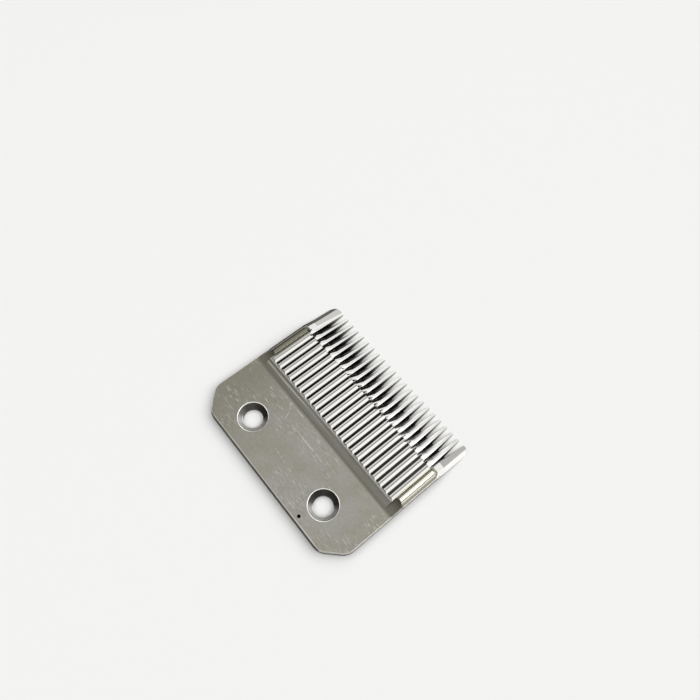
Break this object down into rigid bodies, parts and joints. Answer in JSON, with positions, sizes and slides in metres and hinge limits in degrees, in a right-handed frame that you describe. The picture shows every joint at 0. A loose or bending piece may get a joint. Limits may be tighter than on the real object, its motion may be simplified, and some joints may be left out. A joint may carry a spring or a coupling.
{
  "type": "hair clipper blade",
  "caption": "Fixed comb blade of a hair clipper: flat steel plate with countersunk screw holes, raised ribbed block and a bevelled row of pointed teeth.",
  "frame": {"origin": "on the inner face, midway between the two screw holes", "axes": "+X along the row of teeth, +Y from the back edge towards the tips, +Z out of the ribbed outer side"},
  "size_m": [0.046, 0.0384, 0.003],
  "materials": {
    "steel": "satin plated plate, ground ribs and teeth"
  },
  "bodies": {
    "root": {"fixed_blade": "steel"}
  },
  "joints": []
}
